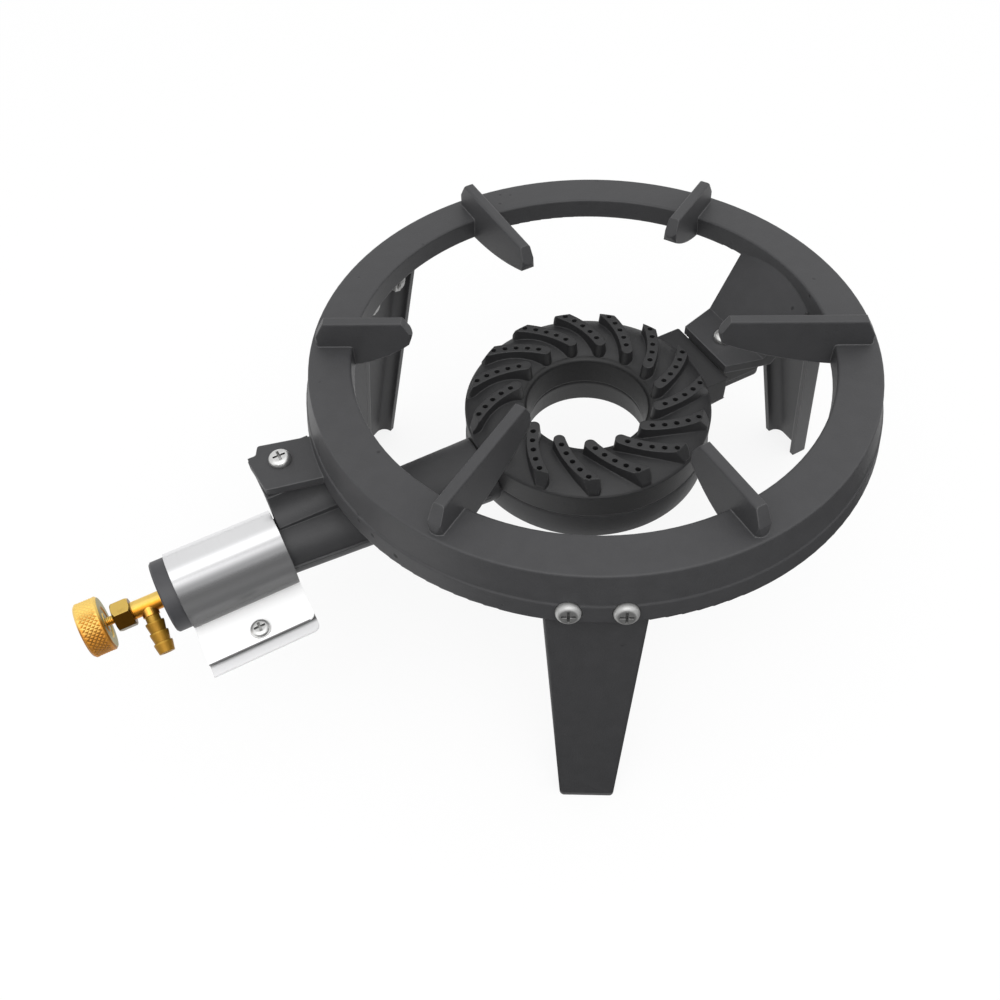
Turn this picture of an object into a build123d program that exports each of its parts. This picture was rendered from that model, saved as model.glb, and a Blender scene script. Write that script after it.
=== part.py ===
from build123d import *
import math
import os

os.makedirs("parts", exist_ok=True)

# Cast iron gas ring on three legs. Millimetres, Z up, the feet on z = 0.
# +X is the side of the rear leg, -X the side of the valve.
# Drops are measured down from the ring's flat top, reaches out from the ring's axis.

# Ring casting
stand_h = 174.3
ring_r = 150.0
ring_top_w = 22.7
ring_h = 29.2
ring_wall = 4.2
ring_round = 1.2
lip_h = 12.5
ledge_drop = 17.5
ledge = 0.8
skirt_slope = 12.1

# Pot fingers, cast on the ring
finger_h = 15.0
finger_top_w = 6.0
finger_foot_w = 10.0
finger_edge = 1.5
finger_back_in = 9.0
finger_heel_in = 3.5
finger_heel_h = 6.0
finger_foot_in = 2.5
long_tip_r = 66.5
short_tip_r = 94.5
nose_run = 5.0
nose_h = 5.5
chin_run = 2.0
chin_h = 1.2
belly_sag = 2.4

# Legs
leg_w = 50.2
foot_w = 30.0
leg_top_drop = 10.0
leg_depth = 12.0
leg_web = 4.0
leg_side = 3.5
leg_fillet = 6.0
leg_round = 2.5
pad_rise = 2.6
pad_margin = 0.6
leg_screw_drop = 23.4
leg_screw_gap = 26.0
seat_t = 5.8

# Front ear of the ring, its corners as reaches past the ring's edge, and the mixing tube's wing under it
ear_t = 4.8
ear_points = [(28.5, 41.2), (31.2, 35.8), (36.4, 33.5), (34.5, 10.6), (3.0, 3.4), (-0.5, 33.5)]
ear_round = 1.5
ear_screw_in = 15.5
ear_screw_side = 26.0
wing_t = 5.0
wing_side = 40.0
wing_out = 2.0
wing_root = 9.0
wing_back = 18.0
web_far = 11.0
web_bead = 1.6
web_sink = 9.0

# Rear bracket of the ring
tab_drop = 41.0
tab_t = 5.5
tab_near = 80.8
tab_bend = 103.0
tab_w = 40.0
tab_bend_w = 52.0
riser_w = 62.0
riser_head_drop = 6.0
tab_screw_in = 13.2

# Burner head
burner_r = 70.0
burner_wall = 4.0
burner_bevel = 1.0
rib_drop = 36.6
cap_drop = 46.0
cap_t = 5.0
crown_r = 54.0
crown_drop = 41.5
joint_drop = 62.0
bowl_drop = 81.0
bowl_floor = 4.5
bowl_bulge = 1.0
bowl_round = 2.5
hole_top_r = 37.5
hole_waist_r = 32.8
hole_low_r = 36.2
hole_round = 3.0
register_h = 2.5
register_w = 1.5
shoulder_reach = 80.0
shoulder_w = 50.0
tongue_reach = 116.0
tongue_w = 30.0
tongue_round = 6.0
low_tongue_t = 4.5
low_tongue_w = 29.0
low_shoulder_t = 13.0
low_shoulder_draft = 32.0

# Flame ribs: each follows an arc through three plan points, with its ports evenly spaced
rib_count = 15
rib_w = 8.4
rib_draft = 5.0
rib_outer_r = 66.0
rib_middle_r = 54.2
rib_inner_r = 40.7
rib_outer_az = 1.5
rib_middle_az = -9.75
rib_inner_az = -23.4
rib_sink = 2.0
rib_ramp_r = 65.0
rib_ramp_drop = 44.0
port_r = 1.5
port_count = 5
port_first_share = 0.111
port_last_share = 0.888

# Mixing tube
tube_drop = 59.1
tube_r = 15.6
tube_bore_r = 12.0
tube_out = 36.5
throat_near = 74.0
throat_reach = 58.0
throat_w = 42.0
throat_h = 31.0
throat_drop = 64.5
throat_bore_w = 34.0
throat_bore_h = 12.0
throat_bore_drop = 70.0
mould_line = 0.8
collar_r = 19.3
collar_l = 19.5
collar_chamfer = 1.0

# Air sleeve, rolled from sheet
sheet = 1.2
sleeve_fit = 0.2
sleeve_l = 57.0
flange_side = 41.6
flange_drop = 10.9
flange_gap = 3.0
flange_low_side = 46.6
flange_round = 4.0
clamp_in = 27.5
clamp_side = 35.0

# End disc that closes the sleeve and carries the valve
disc_out = 8.0
disc_t = 5.0
disc_in = 10.0
disc_wall = 3.5
disc_round = 0.9
air_hole_r = 3.5
air_ring_r = 12.0
air_count = 6

# Valve, in brass: what ends in _in is measured from the disc's face
body_r = 4.6
body_l = 16.0
thread_in = 3.5
thread_r = 4.2
stub_r = 3.5
stub_l = 13.5
seat_in = 5.5
seat_r = 1.2
chamber_r = 3.0
chamber_in = 11.5
locknut_af = 12.0
locknut_t = 5.0
jet_l = 8.0
jet_tip_r = 1.6
jet_hole_r = 0.45
jet_spigot_r = 1.1
jet_spigot_l = 3.0
barb_in = 8.5
barb_fall = 29.0
barb_boss_r = 4.2
barb_boss_l = 6.2
barb_neck_l = 9.6
barb_l = 26.3
barb_neck_r = 3.6
barb_root_r = 3.9
barb_crest_r = 4.75
barb_land_l = 0.8
barb_bore_r = 2.2
barb_count = 3
barb_spigot_r = 2.9
packing_af = 14.0
packing_l = 9.0
packing_wall = 2.5
stem_r = 2.2
stem_neck_r = 1.5
stem_neck_l = 5.0
stem_tip_l = 1.5
stem_tip_r = 0.2
knob_r = 14.4
knob_gap = 4.0
knob_l = 11.5
knob_edge = 1.0
knob_pocket_r = 4.4
knob_pocket_l = 3.6
knob_land_l = 3.0
spindle_r = 1.8
knob_screw_r = 1.0
knob_screw_l = 6.0
knob_screw_head_r = 3.6
knob_screw_head_h = 2.4
knob_screw_round = 0.4

# Screws and nuts
m6_r = 3.0
m6_head_r = 6.0
m6_head_h = 3.8
m6_af = 10.0
m6_nut_t = 5.0
m5_r = 2.5
m5_head_r = 5.2
m5_head_h = 3.2
m5_af = 8.0
m5_nut_t = 4.0
hex_corner_share = 1 / math.sqrt(3)
head_round_share = 0.75
recess_w = 1.3
recess_l_share = 1.1
recess_depth_share = 0.55
washer_r = 5.9
washer_t = 1.6
thread_tail = 1.5

# Clearances and the overrun that serves all cuts
running_fit = 0.05
screw_fit = 0.3
part_fit = 0.4
overrun = 1.0

# Reaches from the ring's axis: along the tube and the valve each hangs on the one before
ring_hole_r = ring_r - ring_top_w
finger_back_r = ring_r - finger_back_in
finger_heel_r = ring_r - finger_heel_in
finger_foot_r = ring_r - finger_foot_in
bracket_screw_reach = tab_near + tab_screw_in
wing_near = ring_r + wing_out
tube_end = ring_r + tube_out
ear_screw_reach = tube_end - ear_screw_in
collar_end = tube_end + collar_l
clamp_reach = tube_end + clamp_in
sleeve_end = tube_end + sleeve_l
disc_face = sleeve_end + disc_out
stub_near = disc_face - stub_l
jet_near = stub_near - jet_l
seat_reach = disc_face + seat_in
stem_tip_reach = seat_reach - stem_tip_l
stem_neck_reach = seat_reach + stem_neck_l
barb_reach = disc_face + barb_in
chamber_far = disc_face + chamber_in
body_end = disc_face + body_l
packing_end = body_end + packing_l
knob_near = packing_end + knob_gap
knob_far = knob_near + knob_l

# Places worked out from the sizes above
slope = math.radians(skirt_slope)
skirt_r = ring_r + ring_h * math.tan(slope)
leg_plane_r = ring_r - ring_wall - pad_rise
foot_reach = leg_plane_r + stand_h * math.tan(slope)
ring_x = (knob_far - foot_reach) / 2
sleeve_bore_r = collar_r + sleeve_fit
sleeve_r = sleeve_bore_r + sheet
ring_axis = Axis((ring_x, 0, 0), (0, 0, 1))
valve_axis = Axis((ring_x, 0, stand_h - tube_drop), (-1, 0, 0))
# Upright plane through the ring's axis: local x is +X from the axis, local y is up from the ring's top
side_plane = Plane(origin=(ring_x, 0, stand_h), x_dir=(1, 0, 0), z_dir=(0, -1, 0))
# Upright plane through the valve's axis: local x is the reach towards the valve, local y is up from the axis
valve_plane = Plane(origin=(ring_x, 0, stand_h - tube_drop), x_dir=(-1, 0, 0), z_dir=(0, 1, 0))


def level(drop):
    """Horizontal plane on the ring's axis, a drop below the ring's flat top."""
    return Plane((ring_x, 0, stand_h - drop))


def cross(reach):
    """Upright plane across the mixing tube at a reach: local x is +Y, local y is up from the tube's axis."""
    return Plane(origin=(ring_x - reach, 0, stand_h - tube_drop), x_dir=(0, 1, 0), z_dir=(1, 0, 0))


def along_valve(reach):
    """Plane square to the valve's axis at a reach, facing away from the burner."""
    return Plane(origin=(ring_x - reach, 0, stand_h - tube_drop), x_dir=(0, 1, 0), z_dir=(-1, 0, 0))


def leg_plane(azimuth):
    """Outer face of the leg at an azimuth: local x runs round the ring, local y up the leg, z outward."""
    out = Vector(math.cos(math.radians(azimuth)), math.sin(math.radians(azimuth)), 0)
    round_ring = Vector(-out.Y, out.X, 0)
    normal = out * math.cos(slope) + Vector(0, 0, math.sin(slope))
    return Plane(origin=Vector(ring_x, 0, stand_h) + out * leg_plane_r, x_dir=round_ring, z_dir=normal)


def down_leg(drop):
    """Local y in a leg's plane of a drop below the ring's top."""
    return -drop / math.cos(slope)


def leg_half_width(drop):
    """Half of a leg's width at a drop, along its straight taper."""
    taper = (leg_w - foot_w) / (stand_h - ring_h)
    return (leg_w - (drop - ring_h) * taper) / 2


def plan(radius, azimuth):
    """Plan point at a radius and an azimuth in degrees."""
    return (radius * math.cos(math.radians(azimuth)), radius * math.sin(math.radians(azimuth)))


def turn(points, plane, axis, mode=Mode.ADD):
    """Revolve a closed outline about an axis, in the part that is being built."""
    with BuildSketch(plane) as section:
        with BuildLine():
            Polyline(*points, close=True)
        make_face()
    revolve(section.sketch, axis=axis, mode=mode)


def finish(builder, label):
    """Label a finished piece and write its STEP file."""
    builder.part.label = label
    export_step(builder.part, "parts/" + label + ".step")


def make_screw(shank_r, head_r, head_h, length):
    """Pan head screw with a cross recess: its head stands on z = 0 and its shank hangs below."""
    with BuildPart() as screw:
        with BuildSketch():
            Circle(head_r)
        extrude(amount=head_h)
        fillet(screw.edges().sort_by(Axis.Z)[-1], radius=head_h * head_round_share)
        with BuildSketch(Plane.XY.offset(head_h)):
            Rectangle(head_r * recess_l_share, recess_w)
            Rectangle(recess_w, head_r * recess_l_share)
        extrude(amount=-head_h * recess_depth_share, mode=Mode.SUBTRACT)
        with BuildSketch():
            Circle(shank_r)
        extrude(amount=-length)
        chamfer(screw.edges().sort_by(Axis.Z)[0], length=shank_r / 4)
    return screw.part


def make_nut(across_flats, thickness, bore_r):
    """Hexagon nut with chamfered corners: it hangs below z = 0, with two flats along X."""
    with BuildPart() as nut:
        with BuildSketch():
            RegularPolygon(across_flats / 2, 6, major_radius=False, rotation=30)
        extrude(amount=-thickness)
        with BuildSketch():
            Circle(across_flats * hex_corner_share)
        extrude(amount=-thickness, mode=Mode.INTERSECT)
        with BuildSketch():
            Circle(bore_r + running_fit)
        extrude(amount=-thickness, mode=Mode.SUBTRACT)
        chamfer(nut.edges().filter_by(GeomType.CIRCLE).group_by(SortBy.RADIUS)[0], length=bore_r / 8)
    return nut.part


def make_washer(outer_r, bore_r, thickness):
    """Washer hanging below z = 0."""
    with BuildPart() as washer:
        with BuildSketch():
            Circle(outer_r)
            Circle(bore_r + running_fit, mode=Mode.SUBTRACT)
        extrude(amount=-thickness)
    return washer.part


def make_finger(tip_r):
    """Pot finger along +X, about the ring's axis: side outline and drafted cross-section in one."""
    chin = (tip_r + chin_run, chin_h)
    root = (ring_hole_r + ring_wall / 2, -lip_h)
    belly = ((chin[0] + root[0]) / 2, (chin[1] + root[1]) / 2 - belly_sag)
    with BuildPart() as finger:
        with BuildSketch(Plane.XZ) as outline:
            with BuildLine():
                ThreePointArc(chin, belly, root)
                Polyline(root, (root[0], -ring_wall / 2), (finger_foot_r, -ring_wall / 2), (finger_foot_r, 0),
                         (finger_heel_r, finger_heel_h), (finger_back_r, finger_h), (tip_r + nose_run, finger_h),
                         (tip_r, nose_h), chin)
            make_face()
        extrude(amount=finger_foot_w, both=True)
        # Rounded ends in plan
        with BuildSketch(Plane.XY.offset(-ring_h)):
            with Locations(((tip_r + finger_foot_r) / 2, 0)):
                SlotOverall(finger_foot_r - tip_r, finger_foot_w)
        extrude(amount=ring_h + ring_h, mode=Mode.INTERSECT)
        with BuildSketch(Plane.YZ) as section:
            with BuildLine():
                Polyline((-finger_foot_w / 2, -lip_h - belly_sag), (-finger_top_w / 2, finger_h),
                         (finger_top_w / 2, finger_h), (finger_foot_w / 2, -lip_h - belly_sag), close=True)
            make_face()
            fillet(section.vertices().group_by(Axis.Y)[-1], radius=finger_edge)
        extrude(amount=ring_r, mode=Mode.INTERSECT)
    return finger.part


# Ring casting
long_finger = make_finger(long_tip_r)
short_finger = make_finger(short_tip_r)
leg_azimuths = {"leg_rear": 0, "leg_left": 120, "leg_right": 240}
screw_sides = (-leg_screw_gap / 2, leg_screw_gap / 2)

# Rear bracket: its side outline, cut to its plan
riser_foot = tab_bend + tab_t
with BuildPart() as bracket:
    with BuildSketch(side_plane):
        with BuildLine():
            Polyline((tab_near, -tab_drop), (tab_bend, -tab_drop), (ring_hole_r, -riser_head_drop),
                     (ring_hole_r + ring_wall / 2, -riser_head_drop),
                     (ring_hole_r + ring_wall / 2, -lip_h),
                     (riser_foot, -tab_drop - tab_t), (tab_near, -tab_drop - tab_t), close=True)
        make_face()
    extrude(amount=riser_w, both=True)
    with BuildSketch(level(tab_drop + tab_t)):
        with BuildLine():
            Polyline((tab_near, -tab_w / 2), (tab_bend, -tab_bend_w / 2), (ring_hole_r, -riser_w / 2),
                     (ring_r, -riser_w / 2), (ring_r, riser_w / 2), (ring_hole_r, riser_w / 2),
                     (tab_bend, tab_bend_w / 2), (tab_near, tab_w / 2), close=True)
        make_face()
    extrude(amount=tab_drop + tab_t, mode=Mode.INTERSECT)

with BuildPart() as ring_frame:
    skirt_in_r = ring_r - ring_wall + ring_wall * math.tan(slope)
    ledge_r = ring_r + ledge_drop * math.tan(slope)
    with BuildSketch(side_plane) as ring_section:
        with BuildLine():
            Polyline((ring_hole_r, 0), (ring_r, 0), (ledge_r, -ledge_drop),
                     (ledge_r + ledge, -ledge_drop - ledge), (skirt_r, -ring_h), (skirt_r - ring_wall, -ring_h),
                     (skirt_in_r, -ring_wall), (ring_hole_r + ring_wall, -ring_wall),
                     (ring_hole_r + ring_wall, -lip_h), (ring_hole_r, -lip_h), close=True)
        make_face()
        fillet(ring_section.vertices().group_by(Axis.Z)[-1], radius=ring_round)
    revolve(axis=ring_axis)
    with Locations(level(0)):
        with PolarLocations(0, 3, start_angle=90):
            add(long_finger)
        with PolarLocations(0, 3, start_angle=30):
            add(short_finger)
    add(bracket.part)
    with BuildSketch(level(ring_h)) as ear:
        with BuildLine():
            Polyline(*[(-ring_r - reach, side) for reach, side in ear_points], close=True)
        make_face()
        fillet(ear.vertices().sort_by(Axis.X)[:4], radius=ear_round)
    extrude(amount=ear_t)
    # Flat pads inside the skirt that the legs lie against, and a spot face under each screw head
    for azimuth in leg_azimuths.values():
        face = leg_plane(azimuth)
        pad_half = leg_half_width(leg_top_drop) + pad_margin
        with BuildSketch(face):
            with BuildLine():
                Polyline((-pad_half, down_leg(ring_h)), (pad_half, down_leg(ring_h)),
                         (pad_half, down_leg(ring_wall)), (-pad_half, down_leg(ring_wall)), close=True)
            make_face()
        extrude(amount=pad_rise + ring_wall / 4)
        with BuildSketch(face.offset(seat_t)):
            with Locations(*[(side, down_leg(leg_screw_drop)) for side in screw_sides]):
                Circle(m6_head_r + part_fit)
        extrude(amount=ring_wall, mode=Mode.SUBTRACT)
        with BuildSketch(face.offset(-overrun)):
            with Locations(*[(side, down_leg(leg_screw_drop)) for side in screw_sides]):
                Circle(m6_r + screw_fit)
        extrude(amount=seat_t + ring_wall, mode=Mode.SUBTRACT)
    with BuildSketch(level(ring_h + overrun)):
        with Locations((-ear_screw_reach, ear_screw_side)):
            Circle(m6_r + screw_fit)
    extrude(amount=ear_t + overrun + overrun, mode=Mode.SUBTRACT)
    with BuildSketch(level(tab_drop + tab_t + overrun)):
        with Locations((bracket_screw_reach, 0)):
            Circle(m6_r + screw_fit)
    extrude(amount=tab_t + overrun + overrun, mode=Mode.SUBTRACT)
finish(ring_frame, "ring_frame")

# Three legs: tapered channels, open inward, each cut level at the floor
below_floor = stand_h + leg_depth
for leg_name, azimuth in leg_azimuths.items():
    face = leg_plane(azimuth)
    top_half = leg_half_width(leg_top_drop)
    low_half = leg_half_width(below_floor)
    with BuildPart() as leg:
        with BuildSketch(face):
            with BuildLine():
                Polyline((-low_half, down_leg(below_floor)), (low_half, down_leg(below_floor)),
                         (top_half, down_leg(leg_top_drop)), (-top_half, down_leg(leg_top_drop)), close=True)
            make_face()
        extrude(amount=-leg_depth)
        with BuildSketch(face.offset(-leg_web)):
            with BuildLine():
                Polyline((leg_side - low_half, down_leg(below_floor) - overrun),
                         (low_half - leg_side, down_leg(below_floor) - overrun),
                         (top_half - leg_side, down_leg(leg_top_drop) + overrun),
                         (leg_side - top_half, down_leg(leg_top_drop) + overrun), close=True)
            make_face()
        extrude(amount=-leg_depth, mode=Mode.SUBTRACT)
        outward = Axis(face.origin, face.z_dir)
        web_in = leg.faces().filter_by(face).sort_by(outward)[-2]
        fillet(web_in.edges().sort_by(SortBy.LENGTH)[-2:], radius=leg_fillet)
        web_out = leg.faces().filter_by(face).sort_by(outward)[-1]
        fillet(web_out.edges().sort_by(SortBy.LENGTH)[-2:], radius=leg_round)
        with BuildSketch(face.offset(-leg_web)):
            with Locations(*[(side, down_leg(leg_screw_drop)) for side in screw_sides]):
                Circle(washer_r + part_fit)
        extrude(amount=-leg_depth, mode=Mode.SUBTRACT)
        with BuildSketch(face.offset(overrun)):
            with Locations(*[(side, down_leg(leg_screw_drop)) for side in screw_sides]):
                Circle(m6_r + screw_fit)
        extrude(amount=-leg_web - overrun - overrun, mode=Mode.SUBTRACT)
        split(bisect_by=Plane.XY, keep=Keep.TOP)
    finish(leg, leg_name)


def leg_screw_planes(offset):
    """A plane on each leg screw's axis, square to it, an offset outward from the leg's outer face."""
    planes = []
    for azimuth in leg_azimuths.values():
        face = leg_plane(azimuth)
        for side in screw_sides:
            place = face.from_local_coords((side, down_leg(leg_screw_drop), offset))
            planes.append(Plane(origin=place, x_dir=face.x_dir, z_dir=face.z_dir))
    return planes


leg_screw_l = seat_t + leg_web + washer_t + m6_nut_t + thread_tail
leg_screw = make_screw(m6_r, m6_head_r, m6_head_h, leg_screw_l)
m6_nut = make_nut(m6_af, m6_nut_t, m6_r)
washer = make_washer(washer_r, m6_r, washer_t)
with BuildPart() as leg_screws:
    with Locations(*leg_screw_planes(seat_t)):
        add(leg_screw)
finish(leg_screws, "leg_screws")
with BuildPart() as leg_washers:
    with Locations(*leg_screw_planes(-leg_web)):
        add(washer)
finish(leg_washers, "leg_washers")
with BuildPart() as leg_nuts:
    with Locations(*leg_screw_planes(-leg_web - washer_t)):
        add(m6_nut)
finish(leg_nuts, "leg_nuts")

# Fifteen swept ribs for the burner cap, whose outer ends ramp down to its rim
rib_arc = ThreePointArc(plan(rib_outer_r, rib_outer_az), plan(rib_middle_r, rib_middle_az),
                        plan(rib_inner_r, rib_inner_az), mode=Mode.PRIVATE)
with BuildPart() as ribs:
    with BuildSketch(level(cap_drop + rib_sink)):
        with PolarLocations(0, rib_count):
            SlotArc(rib_arc, rib_w)
    extrude(amount=cap_drop + rib_sink - rib_drop, taper=rib_draft)
    turn([(hole_waist_r, -cap_drop - rib_sink), (hole_waist_r, -rib_drop), (rib_ramp_r, -rib_drop),
          (burner_r - burner_bevel, -rib_ramp_drop), (burner_r - burner_bevel, -cap_drop - rib_sink)],
         side_plane, ring_axis, Mode.INTERSECT)

# Burner cap: crowned and ribbed top, skirt, and the rear shoulder with its tongue
chamber_in_r = hole_top_r + burner_wall - hole_round
chamber_out_r = burner_r - burner_wall
with BuildPart() as burner_cap:
    with BuildSketch(side_plane):
        with BuildLine():
            Polyline((hole_waist_r, -joint_drop), (hole_waist_r, -cap_drop), (hole_top_r, -cap_drop))
            ThreePointArc((hole_top_r, -cap_drop), (crown_r, -crown_drop), (burner_r - burner_bevel, -cap_drop))
            Polyline((burner_r - burner_bevel, -cap_drop), (burner_r, -cap_drop - burner_bevel),
                     (burner_r, -joint_drop), (hole_waist_r, -joint_drop))
        make_face()
    revolve(axis=ring_axis)
    with BuildSketch(level(joint_drop)) as shoulder:
        with BuildLine():
            Polyline((hole_top_r, -shoulder_w / 2), (shoulder_reach, -shoulder_w / 2),
                     (shoulder_reach, shoulder_w / 2), (hole_top_r, shoulder_w / 2), close=True)
        make_face()
        fillet(shoulder.vertices().group_by(Axis.X)[-1], radius=ring_round)
    extrude(amount=joint_drop - cap_drop)
    with BuildSketch(level(joint_drop)) as tongue:
        with BuildLine():
            Polyline((hole_top_r, -tongue_w / 2), (tongue_reach, -tongue_w / 2),
                     (tongue_reach, tongue_w / 2), (hole_top_r, tongue_w / 2), close=True)
        make_face()
        fillet(tongue.vertices().group_by(Axis.X)[-1], radius=tongue_round)
    extrude(amount=joint_drop - tab_drop - tab_t)
    # Gas chamber, then the register lip that drops inside the bowl's wall
    with BuildSketch(side_plane):
        with BuildLine():
            ThreePointArc((chamber_in_r, -cap_drop - cap_t), (crown_r, -crown_drop - cap_t),
                          (chamber_out_r, -cap_drop - cap_t))
            Polyline((chamber_out_r, -cap_drop - cap_t), (chamber_out_r, -joint_drop - overrun),
                     (hole_waist_r + burner_wall, -joint_drop - overrun), (chamber_in_r, -cap_drop - cap_t))
        make_face()
    revolve(axis=ring_axis, mode=Mode.SUBTRACT)
    lip_r = chamber_out_r - part_fit
    turn([(lip_r - register_w, -cap_drop - cap_t / 2), (chamber_out_r + overrun, -cap_drop - cap_t / 2),
          (chamber_out_r + overrun, -joint_drop), (lip_r, -joint_drop), (lip_r, -joint_drop - register_h),
          (lip_r - register_w, -joint_drop - register_h)], side_plane, ring_axis)
    # Central hole, with a rounded rim
    with BuildSketch(side_plane):
        with BuildLine():
            Polyline((0, -joint_drop - overrun), (hole_waist_r, -joint_drop - overrun), (hole_waist_r, -joint_drop),
                     (hole_top_r - hole_round, -cap_drop - hole_round))
            CenterArc((hole_top_r, -cap_drop - hole_round), hole_round, 180, -90)
            Polyline((hole_top_r, -cap_drop), (hole_top_r, -cap_drop + overrun), (0, -cap_drop + overrun),
                     (0, -joint_drop - overrun))
        make_face()
    revolve(axis=ring_axis, mode=Mode.SUBTRACT)
    # The swept ribs and the ports along them
    add(ribs.part)
    port_step = (port_last_share - port_first_share) / (port_count - 1)
    port_places = [rib_arc @ (port_first_share + port_step * index) for index in range(port_count)]
    with BuildSketch(level(rib_drop - overrun)):
        with PolarLocations(0, rib_count):
            with Locations(*port_places):
                Circle(port_r)
    extrude(amount=-(cap_drop + cap_t - rib_drop + overrun + overrun), mode=Mode.SUBTRACT)
    with BuildSketch(level(tab_drop)):
        with Locations((bracket_screw_reach, 0)):
            Circle(m6_r + screw_fit)
    extrude(amount=-joint_drop, mode=Mode.SUBTRACT)
finish(burner_cap, "burner_cap")

# Burner bowl, cast in one with the mixing tube and its wing
wing_drop = ring_h - tube_drop
with BuildPart() as burner_bowl:
    bulge_drop = (joint_drop + bowl_drop) / 2
    with BuildSketch(side_plane) as bowl_section:
        with BuildLine():
            ThreePointArc((burner_r, -joint_drop), (burner_r + bowl_bulge, -bulge_drop), (burner_r, -bowl_drop))
            Polyline((burner_r, -bowl_drop), (hole_low_r, -bowl_drop), (hole_waist_r, -joint_drop),
                     (burner_r, -joint_drop))
        make_face()
        fillet(bowl_section.vertices().group_by(Axis.Z)[0], radius=bowl_round)
    revolve(axis=ring_axis)
    with BuildSketch(level(joint_drop)) as low_tongue:
        with BuildLine():
            Polyline((hole_top_r, -low_tongue_w / 2), (tongue_reach, -low_tongue_w / 2),
                     (tongue_reach, low_tongue_w / 2), (hole_top_r, low_tongue_w / 2), close=True)
        make_face()
        fillet(low_tongue.vertices().group_by(Axis.X)[-1], radius=tongue_round)
    extrude(amount=-low_tongue_t)
    with BuildSketch(level(joint_drop)):
        with BuildLine():
            Polyline((hole_top_r, -shoulder_w / 2), (shoulder_reach, -shoulder_w / 2),
                     (shoulder_reach, shoulder_w / 2), (hole_top_r, shoulder_w / 2), close=True)
        make_face()
    extrude(amount=-low_shoulder_t, taper=low_shoulder_draft)
    # Collar in the sleeve, then the mixing tube, which widens and falls gently to its throat in the bowl
    turn([(tube_end, 0), (tube_end, collar_r - collar_chamfer),
          (tube_end + collar_chamfer, collar_r), (collar_end - collar_chamfer, collar_r),
          (collar_end, collar_r - collar_chamfer), (collar_end, 0)], valve_plane, valve_axis)
    with BuildSketch(cross(tube_end)):
        Circle(tube_r)
    with BuildSketch(cross(throat_near)):
        with Locations((0, tube_drop - throat_drop)):
            Ellipse(throat_w / 2, throat_h / 2)
    loft()
    with BuildSketch(cross(throat_near)):
        with Locations((0, tube_drop - throat_drop)):
            Ellipse(throat_w / 2, throat_h / 2)
    extrude(amount=throat_near - throat_reach)
    with BuildSketch(cross(tube_end)):
        Rectangle(tube_r + tube_r + mould_line + mould_line, mould_line + mould_line)
    with BuildSketch(cross(throat_near)):
        with Locations((0, tube_drop - throat_drop)):
            Rectangle(throat_w + mould_line + mould_line, mould_line + mould_line)
    loft()
    # Wing under the ring's ear: a plate, with a curved web down to the tube's crown
    with BuildSketch(cross(tube_end - collar_chamfer)):
        with BuildLine():
            Polyline((wing_root, -wing_drop), (wing_side, -wing_drop), (wing_side, -wing_drop - wing_t),
                     (wing_back, -wing_drop - wing_t))
            ThreePointArc((wing_back, -wing_drop - wing_t),
                          (web_far + (wing_back - web_far) / 4, (tube_r - web_sink - wing_drop - wing_t) / 2),
                          (web_far, tube_r - web_sink))
            Polyline((web_far, tube_r - web_sink), (-web_bead, tube_r - web_sink), (-web_bead, tube_r + web_bead))
            ThreePointArc((-web_bead, tube_r + web_bead),
                          (wing_root - (wing_root + web_bead) / 4, (tube_r + web_bead - wing_drop) / 2 - web_bead),
                          (wing_root, -wing_drop))
        make_face()
    extrude(amount=tube_end - collar_chamfer - wing_near)
    # Room for the cap's skirt, then the chamber, the central hole and the tube's bore
    turn([(0, -joint_drop), (burner_r + part_fit, -joint_drop), (burner_r + part_fit, -cap_drop + overrun),
          (0, -cap_drop + overrun)], side_plane, ring_axis, Mode.SUBTRACT)
    turn([(hole_waist_r + burner_wall, -joint_drop + overrun), (chamber_out_r, -joint_drop + overrun),
          (chamber_out_r, -bowl_drop + bowl_floor), (hole_low_r + burner_wall, -bowl_drop + bowl_floor),
          (hole_waist_r + burner_wall, -joint_drop)], side_plane, ring_axis, Mode.SUBTRACT)
    turn([(0, -joint_drop), (hole_waist_r, -joint_drop), (hole_low_r, -bowl_drop), (0, -bowl_drop)],
         side_plane, ring_axis, Mode.SUBTRACT)
    turn([(tube_end, 0), (tube_end, tube_bore_r), (collar_end + overrun, tube_bore_r),
          (collar_end + overrun, 0)], valve_plane, valve_axis, Mode.SUBTRACT)
    with BuildSketch(cross(tube_end)):
        Circle(tube_bore_r)
    with BuildSketch(cross(throat_near)):
        with Locations((0, tube_drop - throat_bore_drop)):
            Ellipse(throat_bore_w / 2, throat_bore_h / 2)
    loft(mode=Mode.SUBTRACT)
    with BuildSketch(cross(throat_near)):
        with Locations((0, tube_drop - throat_bore_drop)):
            Ellipse(throat_bore_w / 2, throat_bore_h / 2)
    extrude(amount=throat_near - throat_reach, mode=Mode.SUBTRACT)
    with BuildSketch(level(ring_h - overrun)):
        with Locations((-ear_screw_reach, ear_screw_side)):
            Circle(m6_r + screw_fit)
    extrude(amount=-wing_t - overrun - overrun, mode=Mode.SUBTRACT)
    with BuildSketch(level(joint_drop - overrun)):
        with Locations((bracket_screw_reach, 0)):
            Circle(m6_r + screw_fit)
    extrude(amount=-low_tongue_t - overrun - overrun, mode=Mode.SUBTRACT)
finish(burner_bowl, "burner_bowl")

# Screws and nuts of the ear and of the rear bracket
ear_grip = ear_t + wing_t
bracket_grip = joint_drop + low_tongue_t - tab_drop
ear_place = (-ear_screw_reach, ear_screw_side)
bracket_place = (bracket_screw_reach, 0)


def upright_at(drop, place):
    """Horizontal plane at a drop, centred on a plan place."""
    return Plane(level(drop).from_local_coords((place[0], place[1], 0)))


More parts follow.
